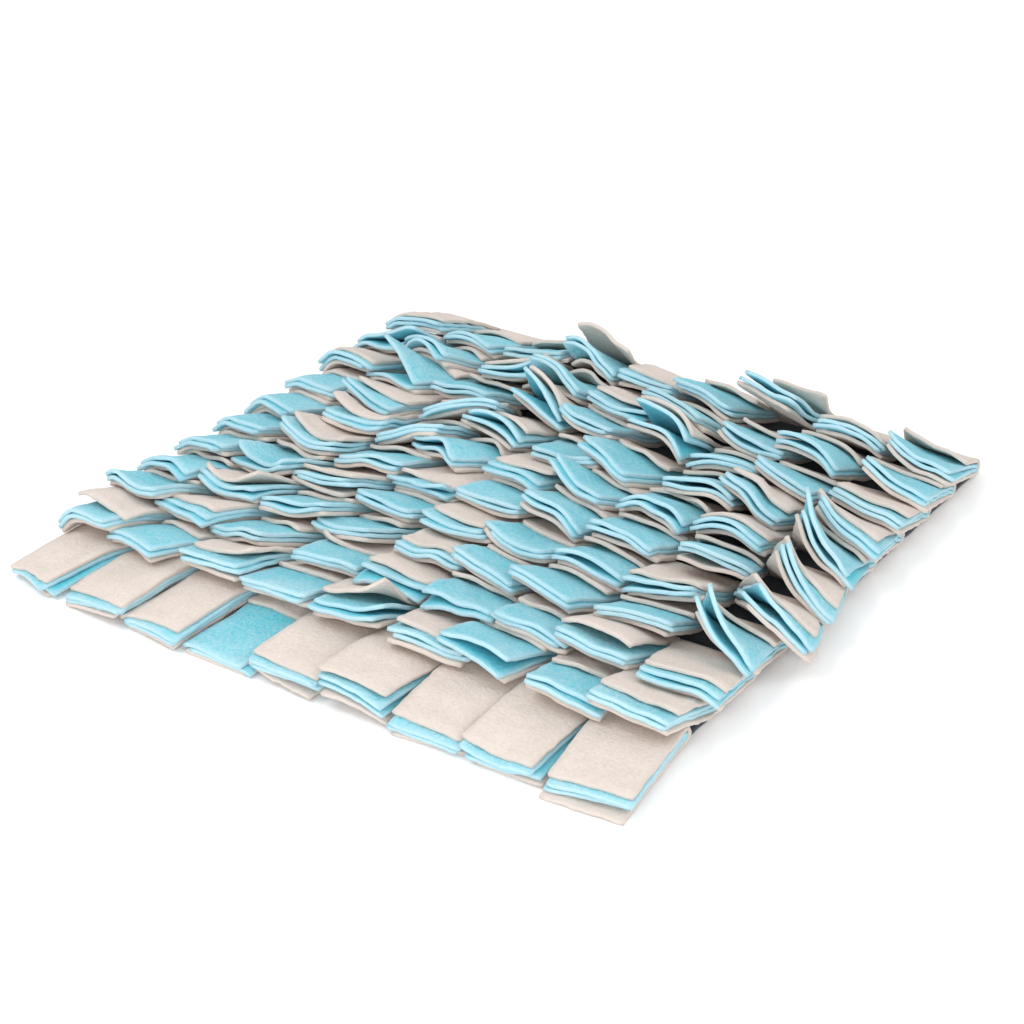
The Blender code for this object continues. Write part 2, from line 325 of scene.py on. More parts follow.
# Colours, which are linear, and the studio. In each fleece the root's colour is painted shade deep among the
# tabs, and the edge's colour is painted light on the blue and painted shade on the beige
BEIGE = {
    # Painted shade towards the roots and inside the fold
    "root": (0.62, 0.55, 0.49),
    "dark": (0.58, 0.51, 0.455),
    "mid": (0.67, 0.59, 0.54),
    "light": (0.72, 0.635, 0.585),
    # Painted shade on the cut edges
    "edge": (0.61, 0.54, 0.49),
}
BLUE = {
    # Painted shade towards the roots and inside the fold
    "root": (0.0, 0.47, 0.59),
    "dark": (0.08, 0.48, 0.59),
    "mid": (0.25, 0.57, 0.66),
    "light": (0.45, 0.635, 0.705),
    # Painted highlight on the cut edges
    "edge": (0.48, 0.66, 0.73),
}
SLATE = {"dark": (0.022, 0.028, 0.037), "mid": (0.045, 0.056, 0.071), "light": (0.085, 0.10, 0.12)}
PAPER = (0.97, 0.97, 0.97)
FLOOR_HALF_SIDE = 6.0
WORLD_STRENGTH = 0.88

# The camera, with its pitch below the horizon and its turn to the left
EYE = (0.7790, -1.1996, 0.7727)
EYE_PITCH = math.radians(28.51)
EYE_TURN = math.radians(33.88)
LENS_MM = 83.76
SENSOR_MM = 36.0
FARTHEST = 50.0


def by_row(first, others, axes):
    """A value for the first row and one for the others, followed by this many axes of one entry."""
    return np.where(np.arange(ROWS) == 0, first, others).reshape((ROWS,) + (1,) * axes)


def cut_of(row):
    """How far the front and rear halves of a row's strips are cut."""
    return LATER_CUT if row else FIRST_CUT


def column_centres():
    """x of the columns' middles."""
    return (np.arange(COLUMNS) + 0.5) * TAB_PITCH - BASE_SIDE / 2


def unevenly(values, bundles, tabs):
    """The values with a random spread of the bundles, and then one of all tabs."""
    return values + RNG.normal(0.0, bundles, BUNDLES) + RNG.normal(0.0, tabs, TABS)


def per_point(values):
    """A value for each tab, with the axes of its steps and lines added."""
    return values[..., None, None]


def per_guide(values):
    """(row, tab, column, 3) as (row, tab, guide), with the guides of all columns in one run."""
    return values.reshape(ROWS, len(BUNDLE), -1)


def summed(places, vectors, count):
    """For each of count points, the sum of the vectors whose place it is."""
    return np.stack([np.bincount(places, vectors[:, axis], count) for axis in range(3)], axis=1)


# ---------------------------------------------------------------------------------------------------------
# Laying the bundles in side view. The arrays here hold the 27 guides, three of each column, and points as
# (forward, height) from their own row's seam.


def least_angle(start, reach, wanted, pile):
    """The lowest angles, at or above those wanted, at which straight tabs from start clear the pile."""
    away = pile - start[:, None]
    distance = np.hypot(away[..., 0], away[..., 1])
    near = (distance > SAME_POINT) & (distance < reach + LAYER)
    half = np.arcsin(np.clip(LAYER / np.maximum(distance, SAME_POINT), 0.0, 1.0))
    needed = np.where(near, np.arctan2(away[..., 1], away[..., 0]) + half, -math.pi)
    return np.clip(needed.max(axis=1), wanted, STEEPEST)


def fold_point(radius, angle):
    """A point of a fold: angle is 0 at its lowest point and grows to the front."""
    return np.stack((radius * np.sin(angle), FOLD_HEIGHT - radius * np.cos(angle)), axis=-1)


def arc(radius, first, last):
    """Points of the folds from the angle first to the angles last, as (guide, point, 2)."""
    share = np.linspace(0.0, 1.0, ARC_POINTS)
    return fold_point(radius, first + (last - first)[:, None] * share)


def rounded(path):
    """Corners cut off twice, with both ends kept."""
    for _ in range(2):
        start, end = path[:, :-1], path[:, 1:]
        cut = np.stack((0.75 * start + 0.25 * end, 0.25 * start + 0.75 * end), axis=2)
        path = np.concatenate((path[:, :1], cut.reshape(len(path), -1, 2), path[:, -1:]), axis=1)
    return path


def resampled(path, count):
    """Points evenly along each guide's path."""
    out = np.empty((len(path), count, path.shape[2]))
    for guide, points in enumerate(path):
        lengths = np.linalg.norm(np.diff(points, axis=0), axis=1)
        along = np.concatenate(((0.0,), np.cumsum(lengths)))
        at = np.linspace(0.0, along[-1], count)
        for axis in range(path.shape[2]):
            out[guide, :, axis] = np.interp(at, along, points[:, axis])
    return out


def ground(guides):
    """What lies under the tabs: the base, then the floor."""
    forward = np.arange(-ROWS * ROW_PITCH, FRONT_MARGIN + FIRST_CUT[1], GROUND_STEP)
    height = np.where(forward < FRONT_MARGIN, SEAM_HEIGHT, FLEECE / 2) - LAYER
    return np.repeat(np.column_stack((forward, height))[None], guides, axis=0)


def lay(start, length, heading, curl, pile):
    """Paths of straight steps, each as low as the pile allows, with headings that fall by curl in all."""
    path = start
    left = length
    for step in range(LAY_STEPS):
        run = left / (LAY_STEPS - step)
        heading = least_angle(path[:, -1], min(left.max(), LOOK_AHEAD), heading, pile)
        move = np.stack((np.cos(heading), np.sin(heading)), axis=-1) * run[:, None]
        path = np.concatenate((path, (path[:, -1] + move)[:, None]), axis=1)
        left = left - run
        heading = heading - curl / LAY_STEPS
    return path


def lay_all(lean, opening, curl, cut_share):
    """All tabs as (row, tab, guide, step, 2). lean is (row, guide) and the others are (row, tab, guide)."""
    guides = lean.shape[1]
    pile = ground(guides)
    out = np.empty((ROWS, len(BUNDLE), guides, STEPS, 2))
    for row in range(ROWS):
        cut = cut_of(row)
        if row:
            pile = pile + np.array((ROW_PITCH, 0.0))
        angle = lean[row]
        for _ in range(LEAN_TRIES):
            angle = least_angle(fold_point(OUTER_RADIUS, angle), LOOK_AHEAD, angle, pile)
            angle = np.minimum(angle, STEEPEST_FOLD)
        for tab, (strip, side) in enumerate(BUNDLE):
            radius = RADIUS[strip]
            start = np.minimum(angle + opening[row, tab], STEEPEST_FOLD)
            if side == 0:
                fold = arc(radius, 0.0, start)
                length = cut[0] * cut_share[row, tab] - radius * start
            else:
                fold = arc(radius, -math.pi / 2, start - math.pi)
                length = cut[1] * cut_share[row, tab] - radius * (math.pi - start)
            laid = rounded(lay(fold[:, -1:], length, start, curl[row, tab], pile))
            pile = np.concatenate((pile, resampled(laid, PILE_POINTS)), axis=1)
            out[row, tab] = resampled(np.concatenate((fold[:, :-1], laid), axis=1), STEPS)
    return out


# ---------------------------------------------------------------------------------------------------------
# What is given to the laying


def guide_leans():
    """Leans as (row, guide)."""
    calm = by_row(FIRST_ROW_SHARE, 1.0, 1)
    lean = np.radians(LEAN + calm * STRAY * RNG.normal(0.0, UNEVEN_LEAN, LEAN.shape))
    roll = np.radians(ROLL + calm * STRAY * RNG.normal(0.0, UNEVEN_ROLL, ROLL.shape))
    bulge = np.radians(calm * BULGE * RNG.normal(MEAN_BULGE, UNEVEN_BULGE, ROLL.shape))
    left = lean + roll / 2
    right = lean - roll / 2
    middle = right + MIDDLE_SHARE * (left - right) + bulge
    return np.stack((left, middle, right), axis=-1).reshape(ROWS, -1)


def guide_openings():
    """How much more than its bundle each tab leans at its root, as (row, tab, guide)."""
    jitter = np.radians(RNG.normal(0.0, UNEVEN_OPENING, TABS)) * by_row(FIRST_ROW_SHARE, 1.0, 2) * LEVEL
    tab = np.arange(len(BUNDLE))[:, None]
    opening = np.maximum(np.radians(FAN)[:, None] * tab + jitter, 0.0)
    opening = np.repeat(opening[..., None], len(GUIDES), axis=-1)
    for row, column, lowest, left, right in OPENED:
        opening[row, lowest:, column] += np.radians((left, (left + right) / 2, right))
    for row, column in BLUE_ON_TOP:
        opening[row, -1, column] += math.radians(SNIPPED_OPENING * LEVEL[column])
    return per_guide(opening)


def guide_curls():
    """How much each tab droops from root to tip, as (row, tab, guide)."""
    curl = np.radians(unevenly(CURL, *UNEVEN_CURL))
    twist = np.radians(unevenly(0.0, *UNEVEN_TWIST)) * by_row(FIRST_ROW_SHARE, 1.0, 2)
    return per_guide(curl[..., None] + twist[..., None] * GUIDES)


def guide_lengths():
    """Each tab's length as a share of its cut, as (row, tab, guide)."""
    share = np.broadcast_to(LATER_SHARE[:, None], TABS).copy()
    share[0] = FIRST_SHARE[:, None]
    share += by_row(FIRST_ROW_LENGTHS, 1.0, 2) * RNG.normal(0.0, UNEVEN_LENGTH, TABS)
    for row, column in BLUE_ON_TOP:
        share[row, -1, column] *= SNIPPED
    for row, column, tab, length in CUT_ANEW:
        share[row, tab, column] = length
    slant = RNG.normal(0.0, UNEVEN_SLANT, TABS)
    return per_guide(share[..., None] + slant[..., None] * GUIDES)


# ---------------------------------------------------------------------------------------------------------
# The tabs in space, as (row, tab, column, step, line, 3)


def design():
    """Points of all tabs before they are pushed apart."""
    lean = guide_leans()
    opening = guide_openings()
    curl = guide_curls()
    share = guide_lengths()
    laid = lay_all(lean, opening, curl, share)
    laid = laid.reshape(TABS + (len(GUIDES), STEPS, 2))
    side_view = np.einsum("rncksd,kl->rncsld", laid, PARABOLA)
    points = in_space(side_view[..., 0], side_view[..., 1])
    points += normals_of(points) * (ripple() + crumple() + raised())[..., None]
    corner = CORNER_CUT * np.abs(ACROSS)[:, None] ** CORNER_POWER
    points[..., -1, :, :] += corner * (points[..., -2, :, :] - points[..., -1, :, :])
    return points


def in_space(forward, height):
    """The tabs at their places in plan, each turned by its own angle, and sinking near the mat's sides."""
    seam = (FIRST_SEAM + np.arange(ROWS) * ROW_PITCH)[:, None, None, None, None]
    half = (TAB_PITCH - SLIT) / 2 - NARROWEST_BY * per_point(RNG.random(TABS)) * ALONG
    drawn_in = np.zeros(TABS + (STEPS, 1))
    for row, column, most in TAPERED:
        drawn_in[row, :, column] += most / 2 * ALONG
    half = half - drawn_in
    across = ACROSS * half + drawn_in

    bundles, tabs = UNEVEN_YAW
    stray = by_row(FIRST_ROW_SHARE, 1.0, 1) * STRAY * RNG.normal(0.0, bundles, YAW.shape)
    yaw = per_point(np.radians((YAW + stray)[:, None, :] + RNG.normal(0.0, tabs, TABS)))
    turned = np.minimum(np.arange(STEPS) / TURNING_STEPS, 1.0)[:, None]
    x = per_point(column_centres()) + across - np.tan(yaw) * (forward - forward[..., :1, :]) * turned
    y = seam - (forward + np.tan(yaw) * across * turned)
    x[:, :, -1] += LAST_WIDER * (1 + ACROSS) / 2

    right = eased(by_row(FIRST_ROW_SHARE, 1.0, 4) * np.maximum(x - RIGHT_FROM, 0.0))
    left = eased(np.maximum(-x - LEFT_FROM, 0.0))
    right_slope = np.where(np.arange(ROWS) < BACK_ROWS_FROM, RIGHT_SLOPE, BACK_RIGHT_SLOPE)
    sunk_right = right_slope[:, None, None, None, None] * right * ALONG
    sunk_left = by_row(FIRST_LEFT_SLOPE, LEFT_SLOPE, 4) * left * np.minimum(LEFT_RISE * ALONG, 1.0)
    return kept_width(np.stack((x, y, height - (sunk_right + sunk_left)), axis=-1), half)


def eased(past):
    """Distances past a limit, made to grow softly from it."""
    return past * past / (past + OVERHANG_SOFT)


def kept_width(points, half):
    """Brings the lines of each tab together where it slopes across, so that it keeps its width."""
    step = np.diff(points, axis=-2)
    usual = 2 * np.broadcast_to(half, points.shape[:-2] + (1,)) / (LINES - 1)
    usual = usual + (np.arange(COLUMNS) == COLUMNS - 1)[:, None, None] * LAST_WIDER / (LINES - 1)
    least = usual * LEAST_WIDTH[:, None, None]
    across = np.sqrt(np.maximum(usual**2 - step[..., 1] ** 2 - step[..., 2] ** 2, least**2))
    spare = points[..., -1, 0] - points[..., 0, 0] - across.sum(axis=-1)
    # The lower edge stays where it is
    falls = np.clip((points[..., 0, 2] - points[..., -1, 2]) / EDGE_KEPT_AT, -1.0, 1.0)
    first = points[..., 0, 0] + (0.5 + 0.5 * falls) * spare
    along_line = np.concatenate((np.zeros_like(across[..., :1]), np.cumsum(across, axis=-1)), axis=-1)
    out = points.copy()
    out[..., 0] = first[..., None] + along_line
    return out


def ripple():
    """How far the points stand off the plain tab: cupped across, with a slow wave towards the tip."""
    bundles, tabs = UNEVEN_CUP
    cup = per_point(RNG.normal(MEAN_CUP, bundles, BUNDLES) + RNG.normal(0.0, tabs, TABS))
    of_bundles, of_tabs = WAVE_GAMMA
    wave = per_point(RNG.gamma(*of_bundles, BUNDLES) + RNG.gamma(*of_tabs, TABS))
    phase = per_point(RNG.uniform(0.0, 2 * math.pi, BUNDLES) + RNG.normal(0.0, WAVE_PHASE, TABS))
    turns = per_point(RNG.uniform(*WAVE_TURNS, BUNDLES) + RNG.normal(0.0, UNEVEN_TURNS, TABS))
    shape = cup * (2 * ACROSS**2 - 1) + wave * np.sin(turns * ACROSS * WAVE_STRETCH + phase)
    return by_row(FIRST_ROW_RIPPLE, 1.0, 4) * LEVEL[:, None, None] * ALONG**RIPPLE_POWER * shape


def crumple():
    """A shallow unevenness with shorter waves, nearly the same in all tabs of a bundle."""
    out = np.zeros(TABS + (STEPS, LINES))
    for wave, size in CRUMPLE:
        way = per_point(RNG.uniform(0.0, 2 * math.pi, BUNDLES))
        phase = per_point(RNG.uniform(0.0, 2 * math.pi, BUNDLES) + RNG.normal(0.0, CRUMPLE_PHASE, TABS))
        height = per_point(size * (LEAST_CRUMPLE + RNG.gamma(*CRUMPLE_GAMMA, BUNDLES)))
        place = np.cos(way) * ALONG * LATER_CUT[0] + np.sin(way) * ACROSS * TAB_PITCH / 2
        out = out + height * np.sin(2 * math.pi / wave * place + phase)
    return out * np.minimum(ALONG * CRUMPLE_RISE, 1.0)


def raised():
    """How far the free ends stand up, each at least as far as the one below. The first row's lie flat."""
    free = np.clip((ALONG - RAISED_FROM) / (1 - RAISED_FROM), 0.0, 1.0) ** RAISED_POWER
    by_column = np.linspace(*RAISED_COLUMNS, COLUMNS)
    end = by_row(0.0, 1.0, 2) * by_column * LEVEL * RNG.gamma(*RAISED_GAMMA, TABS)
    end = np.cumsum(end, axis=1)
    side = RNG.normal(*RAISED_SIDE, BUNDLES)
    return per_point(end) * free * (1.0 - per_point(side) * ACROSS)


def normals_of(points):
    """Unit normals of the tabs' grids, on the side that faces up when a tab lies to the front."""
    across = np.gradient(points, axis=-2)
    along = np.gradient(points, axis=-3)
    normal = np.cross(along, across)
    return normal / np.maximum(np.linalg.norm(normal, axis=-1, keepdims=True), NOT_ZERO)


def within(values, limit):
    """The values, with those beyond the limit's start drawn in so that they stay within its reach."""
    start, reach = limit
    return np.where(values > start, start + reach * np.tanh((values - start) / reach), values)


# ---------------------------------------------------------------------------------------------------------
# Pushing the tabs apart


def pairs_near(points, order, reach):
    """Index pairs (lower, upper) of points of different tabs within reach of each other."""
    cells = np.floor((points - points.min(axis=0)) / reach).astype(np.int64) + 1
    size = cells.max(axis=0) + 2
    key = (cells[:, 0] * size[1] + cells[:, 1]) * size[2] + cells[:, 2]
    by_key = np.argsort(key, kind="stable")
    sorted_key = key[by_key]
    # A cell and those of its neighbours that come after it, so that no pair is found twice
    steps = [
        (i * size[1] + j) * size[2] + k
        for i in (-1, 0, 1)
        for j in (-1, 0, 1)
        for k in (-1, 0, 1)
        if (i, j, k) >= (0, 0, 0)
    ]
    found = []
    for step in steps:
        first = np.searchsorted(sorted_key, sorted_key + step, "left")
        last = np.searchsorted(sorted_key, sorted_key + step, "right")
        if step == 0:
            first = np.arange(len(sorted_key)) + 1
        count = np.maximum(last - first, 0)
        one = np.repeat(np.arange(len(sorted_key)), count)
        before = np.repeat(np.cumsum(count) - count, count)
        other = np.arange(count.sum()) - before + np.repeat(first, count)
        one, other = by_key[one], by_key[other]
        apart = order[one] != order[other]
        one, other = one[apart], other[apart]
        close = ((points[one] - points[other]) ** 2).sum(axis=1) < reach * reach
        found.append(np.stack((one[close], other[close])))
    one, other = np.concatenate(found, axis=1)
    swap = order[one] > order[other]
    return np.where(swap, other, one), np.where(swap, one, other)


def pile_order():
    """For each tab, its place from the bottom up, as (row, tab, column).

    A bundle lies on the row in front of it, and on the neighbour that is nearer the quiet column.
    """
    rank = np.argsort(np.argsort(np.abs(np.arange(COLUMNS) - QUIET_COLUMN)))
    row_rank = np.arange(ROWS)[:, None, None] * COLUMNS + rank
    return row_rank * len(BUNDLE) + np.arange(len(BUNDLE))[:, None]


def pushes(now, low, high):
    """The mean push on each point, from the pairs that are too close along their normals."""
    flat = now.reshape(-1, 3)
    normal = normals_of(now).reshape(-1, 3)
    gap = flat[high] - flat[low]
    way = normal[high] + normal[low]
    way /= np.maximum(np.linalg.norm(way, axis=1, keepdims=True), NOT_ZERO)
    rise = (gap * way).sum(axis=1)
    aside = (gap * gap).sum(axis=1) - rise * rise
    active = (aside < CONTACT_REACH**2) & (rise < CONTACT)
    low, high = low[active], high[active]
    push = way[active] * ((CONTACT - rise[active]) * 0.5)[:, None]
    count = np.bincount(low, minlength=len(flat)) + np.bincount(high, minlength=len(flat))
    total = summed(high, push, len(flat)) - summed(low, push, len(flat))
    return (total / np.maximum(count, 1)[:, None]).reshape(now.shape)


def settle(points):
    """Pushes each tab up off those it lies on, with displacements that stay smooth along and across it."""
    order = np.broadcast_to(per_point(pile_order()), points.shape[:-1]).reshape(-1)
    free = np.clip((np.arange(STEPS) - 1) / HELD_STEPS, 0.0, 1.0)[:, None, None]
    moved = np.zeros(points.shape)
    half_side = BASE_SIDE / 2 + FLEECE
    on_base = (points[..., 1] > -half_side) & (np.abs(points[..., 0]) < half_side)
    lowest = np.where(on_base, SEAM_HEIGHT, NAPPED / 2)
    for turn in range(SETTLE_ROUNDS):
        now = points + moved
        if turn % REBUILD_EVERY == 0:
            low, high = pairs_near(now.reshape(-1, 3), order, CAPTURE)
        moved += pushes(now, low, high) * free * OVER_RELAXED
        moved[..., 2] += np.maximum(lowest - (points[..., 2] + moved[..., 2]), 0.0)
        moved = smoothed(moved, free)
    return points + moved


def smoothed(moved, free):
    """A displacement field made smooth along and across each tab, and still at its root."""
    along = moved.copy()
    inner = moved[..., 1:-1, :, :]
    along[..., 1:-1, :, :] = 0.5 * inner + 0.25 * (moved[..., :-2, :, :] + moved[..., 2:, :, :])
    straight_on = 2 * moved[..., -2, :, :] - moved[..., -3, :, :]
    along[..., -1, :, :] = moved[..., -1, :, :] * 0.5 + straight_on * 0.5
    out = along.copy()
    out[..., 1:-1, :] = 0.5 * along[..., 1:-1, :] + 0.25 * (along[..., :-2, :] + along[..., 2:, :])
    return out * np.where(free > 0, 1.0, 0.0)


# ---------------------------------------------------------------------------------------------------------
# Meshes


def strip_grid(points, row, strip):
    """(station, line, 3) of a whole strip's middle surface, from the front tips to the rear ones."""
    tabs = [tab for tab, (of_strip, _) in enumerate(BUNDLE) if of_strip == strip]
    front, rear = (points[row, tab].transpose(1, 0, 2, 3).reshape(STEPS, -1, 3) for tab in tabs)
    x = column_centres()[:, None] + ACROSS * (TAB_PITCH - SLIT) / 2
    x[-1] += LAST_WIDER * (1 + ACROSS) / 2
    x = x.reshape(-1)
    forward, height = fold_point(RADIUS[strip], -np.radians(BAND_ANGLES)).T[:, :, None]
    seam = FIRST_SEAM + row * ROW_PITCH
    band = np.stack(np.broadcast_arrays(x, seam - forward, height), axis=-1)
    return np.concatenate((front[::-1], band, rear))


def strip_faces(stations, lines):
    """Faces of a strip's grid, without those in the slits between its tabs."""
    index = np.arange(stations * lines).reshape(stations, lines)
    station, line = np.meshgrid(np.arange(stations - 1), np.arange(lines - 1), indexing="ij")
    in_slit = (line % LINES) == LINES - 1
    in_band = (station >= STEPS - 1) & (station < STEPS + len(BAND_ANGLES))
    station, line = station[~in_slit | in_band], line[~in_slit | in_band]
    corners = ((station, line), (station, line + 1), (station + 1, line + 1), (station + 1, line))
    return np.stack([index[corner] for corner in corners], axis=1)


def surface_normals(points, faces):
    """A unit normal at each point."""
    across = points[faces[:, 1]] - points[faces[:, 3]]
    along = points[faces[:, 0]] - points[faces[:, 2]]
    of_faces = np.cross(along, across)
    normal = np.zeros_like(points)
    for corner in range(4):
        normal += summed(faces[:, corner], of_faces, len(points))
    return normal / np.linalg.norm(normal, axis=1, keepdims=True)


def free_edges(faces, count):
    """The edges of one face only, as (start, end)."""
    ends = np.concatenate([faces[:, (i, (i + 1) % 4)] for i in range(4)])
    forward = ends[:, 0] * count + ends[:, 1]
    backward = ends[:, 1] * count + ends[:, 0]
    return ends[~np.isin(forward, backward)]


def thick_mesh(name, grid, faces, thickness, shade_share, inside=0.0):
    """A closed mesh round a grid of points: both faces and a cut edge along every free side.

    The share of painted shade in the root's colour is 0 at a tab's tip and 1 at its root, and at least inside
    on the face in the fold.
    """
    used, faces = np.unique(faces, return_inverse=True)
    faces = faces.reshape(-1, 4)
    points = grid.reshape(-1, 3)[used]
    shade_share = shade_share[used]
    count = len(points)
    normal = surface_normals(points, faces)
    rim = free_edges(faces, count)
    is_rim = np.zeros(count, bool)
    is_rim[rim] = True
    outward = np.cross(points[rim[:, 1]] - points[rim[:, 0]], normal[rim[:, 0]] + normal[rim[:, 1]])
    out = summed(rim[:, 0], outward, count) + summed(rim[:, 1], outward, count)
    out[is_rim] /= np.linalg.norm(out[is_rim], axis=1, keepdims=True)
    points = points + out * EDGE_RNG.normal(0.0, UNEVEN_EDGE, (count, 1))

    # The upper face, the rings round the cut edge and the lower face, then the places of the rim in each
    half = np.where(is_rim, EDGE_HALF, 0.5)[:, None] * thickness
    edge = points + out * thickness * EDGE_OUT
    rings = [(edge + normal * thickness * rise)[is_rim] for rise in EDGE_RISES]
    layers = [points + normal * half, *rings, points - normal * half]
    starts = np.cumsum([0] + [len(layer) for layer in layers])
    on_ring = np.cumsum(is_rim) - 1
    places = [rim, *(on_ring[rim] + start for start in starts[1:-2]), rim + starts[-2]]
    bands = [
        np.stack((up[:, 1], up[:, 0], low[:, 0], low[:, 1]), axis=1) for up, low in zip(places, places[1:])
    ]
    quads = np.concatenate((faces, faces[:, ::-1] + starts[-2], *bands))
    # Painted light and shade: the edge's colour, in full on the rings and in part on the faces' rim, then the
    # painted shade in the root's colour
    painted_edge_shading = np.concatenate((is_rim * EDGE_SHADING, np.ones(sum(map(len, rings))), is_rim * EDGE_SHADING))
    painted_root_shade = np.concatenate((np.maximum(shade_share, inside), *[shade_share[is_rim]] * len(rings), shade_share))
    return quad_piece(name, np.concatenate(layers), quads, {"painted_edge_shading": painted_edge_shading, "painted_root_shade": painted_root_shade})


def quad_piece(name, points, quads, attributes):
    """A smooth Blender object of four-sided faces, with the attributes' values kept on its points."""
    mesh = bpy.data.meshes.new(name)
    mesh.vertices.add(len(points))
    mesh.vertices.foreach_set("co", points.astype(np.float32).ravel())
    mesh.loops.add(quads.size)
    mesh.loops.foreach_set("vertex_index", quads.astype(np.int32).ravel())
    mesh.polygons.add(len(quads))
    mesh.polygons.foreach_set("loop_start", np.arange(0, quads.size, 4, dtype=np.int32))
    mesh.update(calc_edges=True)
    mesh.validate()
    mesh.polygons.foreach_set("use_smooth", np.ones(len(quads), bool))
    for label, values in attributes.items():
        data = mesh.attributes.new(label, "FLOAT", "POINT").data
        data.foreach_set("value", values.astype(np.float32))
    piece = bpy.data.objects.new(name, mesh)
    bpy.context.scene.collection.objects.link(piece)
    return piece


# ---------------------------------------------------------------------------------------------------------
# Materials


def new_material(name, colour, roughness):
    """A material with its node tree and its shader."""
    material = bpy.data.materials.new(name)
    material.use_nodes = True
    shader = material.node_tree.nodes["Principled BSDF"]
    shader.inputs["Base Color"].default_value = (*colour, 1.0)
    shader.inputs["Roughness"].default_value = roughness
    shader.inputs["Specular IOR Level"].default_value = 0.15
    return material, material.node_tree, shader


def noise(tree, coordinates, scale, detail, roughness):
    node = tree.nodes.new("ShaderNodeTexNoise")
    node.inputs["Scale"].default_value = scale
    node.inputs["Detail"].default_value = detail
    node.inputs["Roughness"].default_value = roughness
    tree.links.new(coordinates, node.inputs["Vector"])
    return node.outputs["Fac"]


def ramp(tree, value, *stops):
    """A colour for each value, by stops of a position and a colour."""
    node = tree.nodes.new("ShaderNodeValToRGB")
    elements = node.color_ramp.elements
    while len(elements) < len(stops):
        elements.new(0.5)
    for element, (position, colour) in zip(elements, stops):
        element.position = position
        element.color = (*colour, 1.0)
    tree.links.new(value, node.inputs["Fac"])
    return node.outputs["Color"]


def bump(tree, value, strength, distance, before=None):
    """A normal bent by value, on top of the normal before."""
    node = tree.nodes.new("ShaderNodeBump")
    node.inputs["Strength"].default_value = strength
    node.inputs["Distance"].default_value = distance
    tree.links.new(value, node.inputs["Height"])
    if before is not None:
        tree.links.new(before, node.inputs["Normal"])
    return node.outputs["Normal"]


def mixed(tree, share, first, second):
    """first where share is 0 and second where it is 1. share is a number or a value of the tree."""
    node = tree.nodes.new("ShaderNodeMix")
    node.data_type = "RGBA"
    if isinstance(share, float):
        node.inputs["Factor"].default_value = share
    else:
        tree.links.new(share, node.inputs["Factor"])
    tree.links.new(first, node.inputs["A"])
    tree.links.new(second, node.inputs["B"])
    return node.outputs["Result"]


def attribute(tree, name, gain):
    """A value kept on the mesh, times gain."""
    node = tree.nodes.new("ShaderNodeAttribute")
    node.attribute_name = name
    scaled = tree.nodes.new("ShaderNodeMath")
    scaled.operation = "MULTIPLY"
    scaled.inputs[1].default_value = gain
    tree.links.new(node.outputs["Fac"], scaled.inputs[0])
    return scaled.outputs["Value"]


def plain(tree, colour):
    node = tree.nodes.new("ShaderNodeRGB")
    node.outputs["Color"].default_value = (*colour, 1.0)
    return node.outputs["Color"]


def fleece(name, root, dark, mid, light, edge):
    """Napped fleece: clumps over faint patches, with painted shade in the root's colour towards the roots and
    inside the fold, and the edge's colour where cut, which is painted light on the blue and painted shade on
    the beige.
    """
    material, tree, shader = new_material(name, mid, roughness=0.95)
    coordinates = tree.nodes.new("ShaderNodeTexCoord").outputs["Object"]
    clumps = noise(tree, coordinates, scale=420.0, detail=5.0, roughness=0.65)
    fibres = noise(tree, coordinates, scale=1500.0, detail=3.0, roughness=0.7)
    patches = noise(tree, coordinates, scale=38.0, detail=3.0, roughness=0.5)
    pillows = noise(tree, coordinates, scale=110.0, detail=2.0, roughness=0.5)
    fine = ramp(tree, clumps, (0.34, dark), (0.52, mid), (0.68, light))
    broad = ramp(tree, patches, (0.30, dark), (0.50, mid), (0.70, light))
    colour = mixed(tree, 0.35, fine, broad)
    # Painted shade: the root's colour, deep among the tabs and on the face inside the fold
    colour = mixed(tree, attribute(tree, "painted_root_shade", gain=0.9), colour, plain(tree, root))
    # The cut edges' colour: a painted highlight on the blue, painted shade on the beige
    colour = mixed(tree, attribute(tree, "painted_edge_shading", gain=0.75), colour, plain(tree, edge))
    tree.links.new(colour, shader.inputs["Base Color"])
    normal = bump(tree, pillows, strength=0.5, distance=0.0016)
    normal = bump(tree, clumps, strength=0.75, distance=0.0013, before=normal)
    normal = bump(tree, fibres, strength=0.55, distance=0.0005, before=normal)
    tree.links.new(normal, shader.inputs["Normal"])
    shader.inputs["Sheen Weight"].default_value = 0.25
    shader.inputs["Sheen Roughness"].default_value = 0.5
    shader.inputs["Sheen Tint"].default_value = (*light, 1.0)
    return material


def felt(name, dark, mid, light):
    """Pressed felt: short fibres in three close shades."""
    material, tree, shader = new_material(name, mid, roughness=0.97)
    coordinates = tree.nodes.new("ShaderNodeTexCoord").outputs["Object"]
    fibres = noise(tree, coordinates, scale=700.0, detail=6.0, roughness=0.7)
    colour = ramp(tree, fibres, (0.25, dark), (0.5, mid), (0.8, light))
    tree.links.new(colour, shader.inputs["Base Color"])
    tree.links.new(bump(tree, fibres, strength=0.5, distance=0.0006), shader.inputs["Normal"])
    shader.inputs["Sheen Weight"].default_value = 0.2
    return material


# ---------------------------------------------------------------------------------------------------------
# The scene


